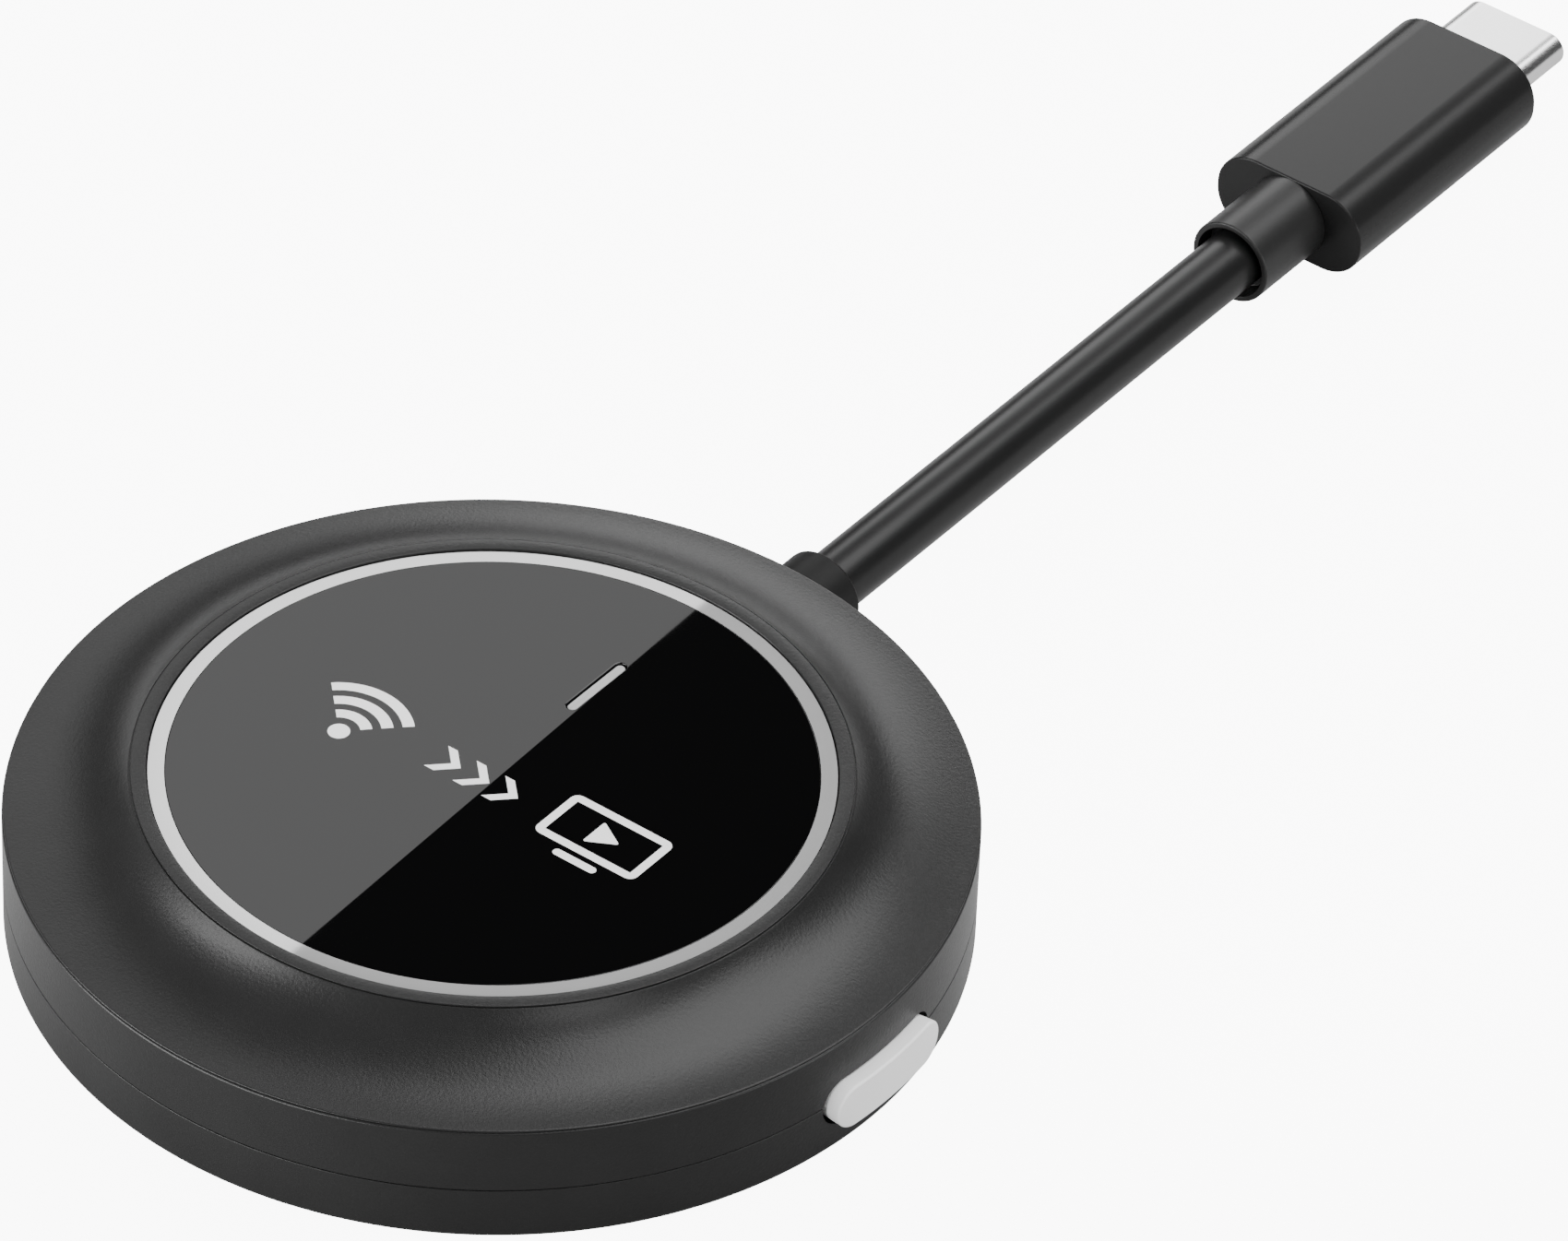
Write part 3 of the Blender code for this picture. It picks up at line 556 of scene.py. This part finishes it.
case = {
    "radius": bandHigh.x,
    "wall": 1.7,
    "steps": 288,
    "seam": 4.25,
    "seamGap": 0.07,
    "crease": 9.2,
    "coverEdge": 0.11,
    "creaseGap": 0.05,
    "edgeRounding": 0.05,
    "shoulder": 0.17,
    "bottomRounding": 0.6,
    "floor": 1.6,
    "tongueWall": 0.7,
    "tongueHeight": 1.1,
    "footRecess": 28.1,
    "footDepth": 0.6,
}
cover = {
    "top": coverHigh.z,
    "bezelInner": ringHigh.x + 0.10,
    "bezelWidth": 1.0,
    "bezelRounding": 0.03,
    "grooveWidth": 0.09,
    "grooveDepth": 0.14,
    "bezelStep": 0.05,
    "stepIn": 0.1,
    "coveBits": 28,
}
button = {
    "length": 10.7,
    "height": 3.3,
    "middle": 4.05,
    "shift": 0.15,
    "slotGap": 0.15,
    "slotEndGap": 0.2,
    "bevel": 0.18,
    "back": 28.8,  # inner radius: clear of the plunger at rest and of the board when pressed
}
boss = {"radius": 3.05, "height": 4.70}


def slotCutter():
    gap = button["slotGap"]
    height = button["height"] + 2 * gap
    outline = pill(button["length"] + 2 * button["slotEndGap"], height, height / 2 - 0.001, 14)
    return block("slotCutter", outline, case["radius"] - 5, case["radius"] + 2, "X",
                 (button["shift"], button["middle"]))


def bossCutter():
    ring = [(0, 26), (boss["radius"] + 0.06, 26), (boss["radius"] + 0.06, 36), (0, 36)]
    return turned("bossCutter", ring, 96, "Y", (0, 0, boss["height"]), closed=False)


def cove():
    # the cover's hollow slope, from the bezel's edge out to the crease
    groove = cover["bezelInner"] + cover["bezelWidth"] + cover["grooveWidth"]
    start = Vector((groove, cover["top"] - cover["bezelStep"]))
    end = Vector((case["radius"] - cover["stepIn"] - 0.15, case["crease"]))
    run, drop = end.x - start.x, start.y - end.y
    first = start + Vector((0.125 * run, -0.38 * drop))
    second = end + Vector((-0.585 * run, 0.05 * drop))
    line = []
    for step in range(cover["coveBits"] + 1):
        t = step / cover["coveBits"]
        point = (1 - t) ** 3 * start + 3 * (1 - t) ** 2 * t * first + 3 * (1 - t) * t ** 2 * second + t ** 3 * end
        line.append(tuple(point))
    return line


def makeTopCover():
    inner = cover["bezelInner"]
    outer = case["radius"] - cover["stepIn"]
    top = cover["top"]
    edge = case["crease"] - case["coverEdge"]
    slope = cove()
    bezel = inner + cover["bezelWidth"]
    upper = softened([(inner, top - 1.0), (inner, top, 0.05), (bezel, top, cover["bezelRounding"]),
                      (bezel, top - cover["grooveDepth"]), (slope[0][0], top - cover["grooveDepth"]),
                      (*slope[0], 0.02), slope[1]], closed=False)
    lip = softened([slope[-1], (outer, case["crease"] - 0.01, 0.08), (outer, edge, 0.01),
                    (outer - 1.2, edge)], closed=False)
    under = [(outer - 1.2, edge - 0.6), (28.0, 8.0), (24.5, 9.2), (21.0, 9.5), (0, 9.5)]
    outline = [(0, 11.1), (21.1, 11.1), (21.1, 10.2), (inner, 10.2)] + upper + slope[2:-1] + lip + under
    piece = turned("topCover", outline, case["steps"], closed=False)
    return settle(piece, finishes["cover"], "case", ["top_cover"], 40)


def makeSideBand():
    radius = case["radius"]
    low = case["seam"] + case["seamGap"]
    high = case["crease"] - case["coverEdge"] - case["creaseGap"]
    inner = radius - case["wall"]
    outline = softened([(inner, low), (radius, low, case["edgeRounding"]), (radius, high, case["shoulder"]),
                        (inner, high)])
    piece = turned("sideBand", outline, case["steps"])
    carve(piece, slotCutter())
    carve(piece, bossCutter())
    return settle(piece, finishes["case"], "case", ["side_band"], 34)


def makeBaseCover():
    radius = case["radius"]
    low = baseLow.z
    inner = radius - case["wall"]
    floor, recess = low + case["floor"], low + case["footDepth"]
    tongue, tongueTop = inner + case["tongueWall"], case["seam"] + case["tongueHeight"]
    outline = softened([(0, floor), (inner, floor), (inner, tongueTop), (tongue, tongueTop),
                        (tongue, case["seam"]), (radius, case["seam"], case["edgeRounding"]),
                        (radius, low, case["bottomRounding"]),
                        (case["footRecess"], low, 0.1), (case["footRecess"], recess), (0, recess)],
                       closed=False, bits=6)
    piece = turned("baseCover", outline, case["steps"], closed=False)
    carve(piece, slotCutter())
    carve(piece, bossCutter())
    return settle(piece, finishes["case"], "case", ["base_cover"], 34)


def makeFoot():
    outline = softened([(0, 0.7), (28.0, 0.7), (28.0, 0, 0.15), (26.4, 0, 0.08), (26.2, 0.18, 0.08),
                        (25.8, 0.18, 0.08), (25.6, 0, 0.08), (0, 0)], closed=False, bits=4)
    piece = turned("footPad", outline, 192, closed=False)
    return settle(piece, finishes["foot"], "case", ["rubber_foot"])


makeTopCover()
makeSideBand()
makeBaseCover()
makeFoot()
print("case: cover, band, base and foot")


window = {"radius": windowHigh.x, "top": windowHigh.z, "bottom": windowLow.z, "rounding": 0.04}
status = {"width": 0.85, "length": 5.9, "middle": 10.75, "barWidth": 0.68, "barLength": 5.7, "drop": 0.1}
mark = {"thick": 0.012, "left": -13.95, "right": 13.75, "low": -4.15, "high": 1.5, "line": 0.78}


def makeWindow():
    top, bottom, radius = window["top"], window["bottom"], window["radius"]
    outline = softened([(0, top), (radius, top, window["rounding"]), (radius, bottom), (0, bottom)],
                       closed=False, bits=3)
    piece = turned("windowLens", outline, case["steps"], closed=False)
    hole = pill(status["width"], status["length"], status["width"] / 2 - 0.001, 8)
    carve(piece, block("statusHole", hole, bottom - 1, top + 1, "Z", (0, status["middle"])))
    openMesh(piece)
    choose("EDGE", lambda middle, way: (middle.z > top - 0.001
                                        and hypot(middle.x, middle.y - status["middle"]) < 3.5))
    bpy.ops.mesh.bevel(offset=0.06 * mm, segments=3, affect="EDGES")
    choose("FACE", lambda middle, way: middle.z > top - 0.001 and way.z > 0.999)
    bpy.ops.mesh.dissolve_limited(angle_limit=radians(1))  # slivers would show in the polish
    choose("EDGE", lambda middle, way: middle.z > top - 0.001)
    bpy.ops.mesh.mark_sharp()
    closeUp()
    return settle(piece, finishes["window"], "case", ["front_window", "window_mask"])


def makeRing():
    inner, outer = window["radius"] + 0.03, ringHigh.x
    top, bottom = window["top"], 10.4
    outline = [(inner, top), (outer, top), (outer, bottom), (inner, bottom)]
    piece = turned("lightRing", outline, case["steps"])
    return settle(piece, finishes["ring"], "case", ["light_ring"])


def makeStatusBar():
    width, length = status["barWidth"], status["barLength"]
    top = window["top"] - status["drop"]
    outline = pill(width, length, width / 2 - 0.001, 8)
    piece = block("statusBar", outline, pipeLow.z, top, "Z", (0, status["middle"]))
    openMesh(piece)
    choose("EDGE", lambda middle, way: abs(middle.z - top) < 0.001)
    bpy.ops.mesh.bevel(offset=0.08 * mm, segments=3, affect="EDGES")
    closeUp()
    return settle(piece, finishes["status"], "case", ["status_light_pipe"])


def inkFace(name, outline, middle=(0, 0)):
    # a flat printed shape: outline in mm on the window's face
    return block(name, outline, window["top"] - 0.004, window["top"] + mark["thick"], "Z", middle)


def inkArc(name, middle, inner, outer, start, sweep):
    # a printed arc, turned from one short line
    across, up = middle
    points = [(across + radius * cos(start), up + radius * sin(start), window["top"] - 0.004)
              for radius in (inner, outer)]
    piece = drawLine(name, points)
    bpy.ops.mesh.select_all(action="SELECT")
    bpy.ops.mesh.spin(steps=28, angle=-sweep, center=(across * mm, up * mm, 0), axis=(0, 0, 1))
    bpy.ops.mesh.select_all(action="SELECT")
    bpy.ops.mesh.extrude_region_move(TRANSFORM_OT_translate={"value": (0, 0, (mark["thick"] + 0.004) * mm)})
    closeUp()
    return piece


def inkFrame(name, left, low, right, high, corner, line):
    outline = pill(right - left, high - low, corner, 6)
    across, up = (left + right) / 2, (low + high) / 2
    piece = drawLine(name, [(across + a, up + b, window["top"] - 0.004) for a, b in outline])
    bpy.ops.mesh.select_all(action="SELECT")
    bpy.ops.mesh.edge_face_add()
    bpy.ops.mesh.inset(thickness=line * mm)
    bpy.ops.mesh.delete(type="ONLY_FACE")
    bpy.ops.mesh.select_all(action="SELECT")
    bpy.ops.mesh.extrude_region_move(TRANSFORM_OT_translate={"value": (0, 0, (mark["thick"] + 0.004) * mm)})
    closeUp()
    return piece


def makeMark():
    # plain signs for wireless, sending and a screen
    line = mark["line"]
    low, high = mark["low"], mark["high"]
    foot = (mark["left"] + 3.95, low + 0.72)
    shapes = [inkArc("dot", foot, 0, 0.74, 0, full)]
    reach = high - foot[1]
    for index in range(3):
        outer = reach - 1.38 * index
        shapes.append(inkArc("arc%d" % index, foot, outer - line, outer, radians(45), radians(90)))
    middle = (low + high) / 2
    for index in range(3):
        tip = -1.6 + 2.35 * index
        shapes.append(inkFace("arrow%d" % index, [
            (tip, middle), (tip - 1.25, middle + 1.25), (tip - 1.25 - line, middle + 1.25),
            (tip - line, middle), (tip - 1.25 - line, middle - 1.25), (tip - 1.25, middle - 1.25)]))
    right = mark["right"]
    left = right - 8.1
    shapes.append(inkFrame("screen", left, low + 1.05, right, high, 0.6, 0.6))
    across = (left + right) / 2
    shapes.append(inkFace("stand", pill(3.4, 0.6, 0.29, 6), (across, low + 0.3)))
    up = (low + 1.05 + high) / 2
    shapes.append(inkFace("play", softened([(across + 1.25, up, 0.12), (across - 0.85, up + 1.2, 0.12),
                                            (across - 0.85, up - 1.2, 0.12)], bits=4)))
    piece = joined("printedMark", shapes)
    return settle(piece, finishes["ink"], "case")


makeWindow()
makeRing()
makeStatusBar()
makeMark()
print("window: lens, ring, status bar and mark")


def makeButton():
    # the key's section swept round the case, then both ends turned about their own middle
    face = buttonHigh.x
    back = button["back"]
    half = button["height"] / 2
    middle = button["middle"]
    reach = (button["length"] / 2 - half) / face
    lean = Matrix.Rotation(button["shift"] / face, 3, "Z")
    section = softened([(back, -half), (face, -half, button["bevel"]), (face, half, button["bevel"]),
                        (back, half)], bits=6)
    start = lean @ Matrix.Rotation(-reach, 3, "Z")
    points = [start @ Vector((across, 0, middle + up)) for across, up in section]
    sweep = drawLine("sweep", points + points[:1])
    bpy.ops.mesh.select_all(action="SELECT")
    bpy.ops.mesh.remove_doubles(threshold=0.0005 * mm)
    bpy.ops.mesh.select_all(action="SELECT")
    bpy.ops.mesh.spin(steps=16, angle=-2 * reach, center=(0, 0, 0), axis=(0, 0, 1))
    closeUp()
    ends = []
    halfSection = softened([(back, 0), (back, half), (face, half, button["bevel"]), (face, 0)],
                           closed=False, bits=6)
    for side in (-1, 1):
        turn = lean @ Matrix.Rotation(side * reach, 3, "Z")
        points = [turn @ Vector((across, 0, middle + up)) for across, up in halfSection]
        end = drawLine("end", points)
        bpy.ops.mesh.select_all(action="SELECT")
        axis = turn @ Vector((1, 0, 0))
        bpy.ops.mesh.spin(steps=24, angle=side * pi, center=Vector((0, 0, middle)) * mm, axis=axis)
        closeUp()
        ends.append(end)
    piece = joined("buttonKey", [sweep] + ends)
    openMesh(piece)
    closeUp(0.002)
    return settle(piece, finishes["button"], "button", ["button_cap"])


makeButton()
print("button: key")


plug = {
    "across": (plugLow.x + plugHigh.x) / 2,
    "up": (plugLow.z + plugHigh.z) / 2,
    "corner": 3.1,
    "edge": 0.14,
    "shellWall": 0.25,
    "shellGap": 0.07,
    "shellInside": 6.2,
    "sleeveRadius": 3.15,
    "sleeveMouth": 2.72,
    "mouthDepth": 1.6,
    "neckRadius": 1.8,
    "neckReach": 1.4,
}


def makeBoss():
    back, front = reliefLow.y, reliefHigh.y
    radius = boss["radius"]
    hole = lead["radius"] + 0.05
    outline = softened([(0, back), (radius, back), (radius, front, 0.22), (hole, front, 0.08),
                        (hole, front - 1.4), (0, front - 1.4)], closed=False, bits=5)
    piece = turned("leadBoss", outline, 128, "Y", (0, 0, boss["height"]), closed=False)
    return settle(piece, finishes["boss"], "case", ["strain_relief"])


def makeSleeve():
    back, end = sleeveLow.y, plugLow.y
    mouth, floor, outer = plug["sleeveMouth"], back + plug["mouthDepth"], plug["sleeveRadius"]
    neck, neckEnd = plug["neckRadius"], end + plug["neckReach"]
    outline = softened([(0, floor), (mouth, floor, 0.1), (mouth, back, 0.05), (outer, back, 0.14),
                        (outer, end, 0.05), (neck, end), (neck, neckEnd), (0, neckEnd)], closed=False, bits=5)
    piece = turned("plugSleeve", outline, 128, "Y", (plug["across"], 0, plug["up"]), closed=False)
    return settle(piece, finishes["sleeve"], "case", ["plug_sleeve"])


def makeGrip():
    # moulded plug body: a block with its long edges rolled over, mouth cut for the shell
    low, high = plugLow, plugHigh
    clearSelection()
    bpy.ops.mesh.primitive_cube_add(size=mm, location=(low + high) / 2 * mm)
    piece = bpy.context.object
    piece.name = piece.data.name = "plugGrip"
    bpy.ops.object.mode_set(mode="EDIT")
    bpy.ops.transform.resize(value=high - low)
    bpy.ops.object.mode_set(mode="OBJECT")
    bpy.ops.object.transform_apply(location=True, rotation=True, scale=True)
    openMesh(piece)
    choose("EDGE", lambda middle, way: abs(way.y) > 0.9)
    bpy.ops.mesh.bevel(offset=plug["corner"] * mm, segments=20, affect="EDGES")
    choose("FACE", lambda middle, way: abs(way.y) > 0.9)
    bpy.ops.mesh.bevel(offset=plug["edge"] * mm, segments=4, affect="EDGES")
    closeUp()
    gap = plug["shellGap"]
    width = shellHigh.x - shellLow.x + 2 * gap
    height = shellHigh.z - shellLow.z + 2 * gap
    mouth = block("mouth", pill(width, height, height / 2 - 0.001, 14), high.y - plug["shellInside"],
                  high.y + 1, "Y", (plug["across"], plug["up"]))
    carve(piece, mouth)
    return settle(piece, finishes["grip"], "case", ["plug_body"], 38)


def makeShell():
    # drawn steel shell: outer skin, rolled lip and the bore behind it
    low, high = shellLow, shellHigh
    width, height = high.x - low.x, high.z - low.z
    piece = block("plugShell", pill(width, height, height / 2 - 0.001, 16), low.y, high.y, "Y",
                  (plug["across"], plug["up"]))
    wall = plug["shellWall"]
    bore = block("bore", pill(width - 2 * wall, height - 2 * wall, height / 2 - wall - 0.001, 16),
                 low.y - 1, high.y + 1, "Y", (plug["across"], plug["up"]))
    carve(piece, bore)
    openMesh(piece)
    choose("EDGE", lambda middle, way: abs(middle.y - high.y) < 0.001)
    bpy.ops.mesh.bevel(offset=0.1 * mm, segments=4, affect="EDGES")
    closeUp()
    return settle(piece, finishes["steel"], "case", ["plug_shell"], 38)


makeBoss()
makeSleeve()
makeGrip()
makeShell()
print("lead: boss, sleeve and plug")


innerFinishes = {
    "board": ["main_board", "plug_board"],
    "moulded": ["processor", "memory_chip", "wireless_chip", "switch_body", "lead_header", "plug_insert"],
    "pad": ["thermal_pad"],
    "ferrite": ["power_inductor"],
    "tin": ["crystal", "shield_can", "antenna_right", "antenna_left", "switch_plunger"],
    "lamp": ["status_lamp", "ring_lamp_1", "ring_lamp_2", "ring_lamp_3", "ring_lamp_4"],
    "spreader": ["heat_spreader"],
    "screw": ["case_screw_1", "case_screw_2", "case_screw_3", "case_screw_4"],
    "jacket": ["inner_lead"],
    "gold": ["contact_row_upper", "contact_row_lower"],
}
for name, nodes in innerFinishes.items():
    for node in nodes:
        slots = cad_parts[node].data.materials
        slots.clear()
        slots.append(finishes[name])
print("inner parts:", sum(len(nodes) for nodes in innerFinishes.values()))


studio = {
    "floor": 8.0,
    "floorTone": 0.28,
    # strength of the glow painted on the paper behind the object
    "paintedFloorGlow": 0.45,
    "white": 9.0,
    "backdrop": 11.0,
    "ambient": 0.03,
}


def makeFloor():
    # pale paper, lit from below for the eye so that it stays clean round the object
    finish = Finish("floorPaper", (0.8, 0.8, 0.8), 0.8, **{"Emission Color": shade(1)})
    fibre = finish.noise(60, 3.0)
    tone = studio["floorTone"]
    finish.set("Base Color", finish.blend(fibre, shade(tone * 0.99), shade(tone * 1.01)))
    # painted light: the paper glows by itself, bright behind the object and fading out towards the camera,
    # standing in for a lit patch of floor that lights the case's walls
    depth = finish.axis(1) * 0.81 - finish.axis(0) * 0.58  # grows away from the camera
    finish.set("Emission Color", finish.blend(depth.fade(-0.034, 0.004), shade(0), shade(1)))
    finish.set("Emission Strength", studio["paintedFloorGlow"])
    paper = Link(finish, finish.shader.outputs[0])
    white = finish.node("ShaderNodeEmission", None, Strength=studio["white"])
    bright = finish.node("ShaderNodeAddShader", None, paper, white)
    seen = finish.node("ShaderNodeMixShader", None, finish.node("ShaderNodeLightPath"), paper, bright)
    finish.feed(finish.tree.nodes["Material Output"].inputs["Surface"], seen)
    clearSelection()
    bpy.ops.mesh.primitive_plane_add(size=studio["floor"], location=(0, 0, -0.00002))
    floor = bpy.context.object
    floor.name = "floor"
    floor.data.materials.append(finish.material)


def makeRoom():
    # nearly dark for the object, white where the camera looks past the floor
    world = bpy.data.worlds.new("room")
    world.use_nodes = True
    tree = world.node_tree
    room = tree.nodes["Background"]
    room.inputs["Color"].default_value = shade(1)
    room.inputs["Strength"].default_value = studio["ambient"]
    backdrop = tree.nodes.new("ShaderNodeBackground")
    backdrop.inputs["Color"].default_value = shade(1)
    backdrop.inputs["Strength"].default_value = studio["backdrop"]
    path = tree.nodes.new("ShaderNodeLightPath")
    mix = tree.nodes.new("ShaderNodeMixShader")
    tree.links.new(path.outputs["Is Camera Ray"], mix.inputs["Fac"])
    tree.links.new(room.outputs["Background"], mix.inputs[1])
    tree.links.new(backdrop.outputs["Background"], mix.inputs[2])
    tree.links.new(mix.outputs["Shader"], tree.nodes["World Output"].inputs["Surface"])
    bpy.context.scene.world = world


softboxes = {
    # name: direction and height in degrees, distance, width and height in mm, brightness of the face
    "overhead": (55, 62, 900, 780, 780, 6.2),
    "highBack": (118, 62, 820, 300, 260, 2.6),
    "lowStrip": (246, 8, 330, 420, 90, 22.0),
    "leftPanel": (226, 33, 700, 400, 180, 12.0),
    "rightStrip": (15, 8, 420, 260, 100, 10.0),
    "rightFill": (338, 44, 800, 300, 300, 4.5),
}
plugBox = {"place": (-136.5, 349.4, 156.3), "aim": (0, 105, 5), "width": 230, "height": 150, "glow": 3.6}
card = {
    # the straight edge that shows in the window, a point on the card's side of it, and its size
    "edge": ((-237.1, 269.6, 341.2), (-230.1, 333.3, 328.4)),
    "side": (-256.7, 295.0, 332.2),
    "long": 420,
    "wide": 300,
    "glow": 1.95,
}


def addLight(name, place, turn, width, height, glow):
    clearSelection()
    bpy.ops.object.light_add(type="AREA", location=place * mm)
    lamp = bpy.context.object
    lamp.name = name
    lamp.data.shape = "RECTANGLE"
    lamp.data.size = width * mm
    lamp.data.size_y = height * mm
    lamp.data.energy = glow * pi * width * height * mm ** 2
    lamp.rotation_euler = turn.to_euler()
    lamp.visible_camera = False


def addSoftbox(name, turn, lift, distance, width, height, glow):
    way = Vector((cos(radians(turn)) * cos(radians(lift)), sin(radians(turn)) * cos(radians(lift)),
                  sin(radians(lift))))
    addLight(name, way * distance, way.to_track_quat("Z", "Y"), width, height, glow)


def addPlugBox():
    # a small box over the far end of the lead, kept out of the window's view
    place = Vector(plugBox["place"])
    turn = (place - Vector(plugBox["aim"])).to_track_quat("Z", "Y")
    addLight("plugBox", place, turn, plugBox["width"], plugBox["height"], plugBox["glow"])


def addCard():
    start, end = (Vector(point) for point in card["edge"])
    along = (end - start).normalized()
    middle = (start + end) / 2
    inward = Vector(card["side"]) - middle
    inward = (inward - along * inward.dot(along)).normalized()
    turn = Matrix((along, inward, along.cross(inward))).transposed()
    place = middle + inward * card["wide"] / 2
    addLight("windowCard", place, turn, card["long"], card["wide"], card["glow"])


makeFloor()
makeRoom()
for name, settings in softboxes.items():
    addSoftbox(name, *settings)
addPlugBox()
addCard()
print("studio: floor and", len(softboxes) + 2, "lights")
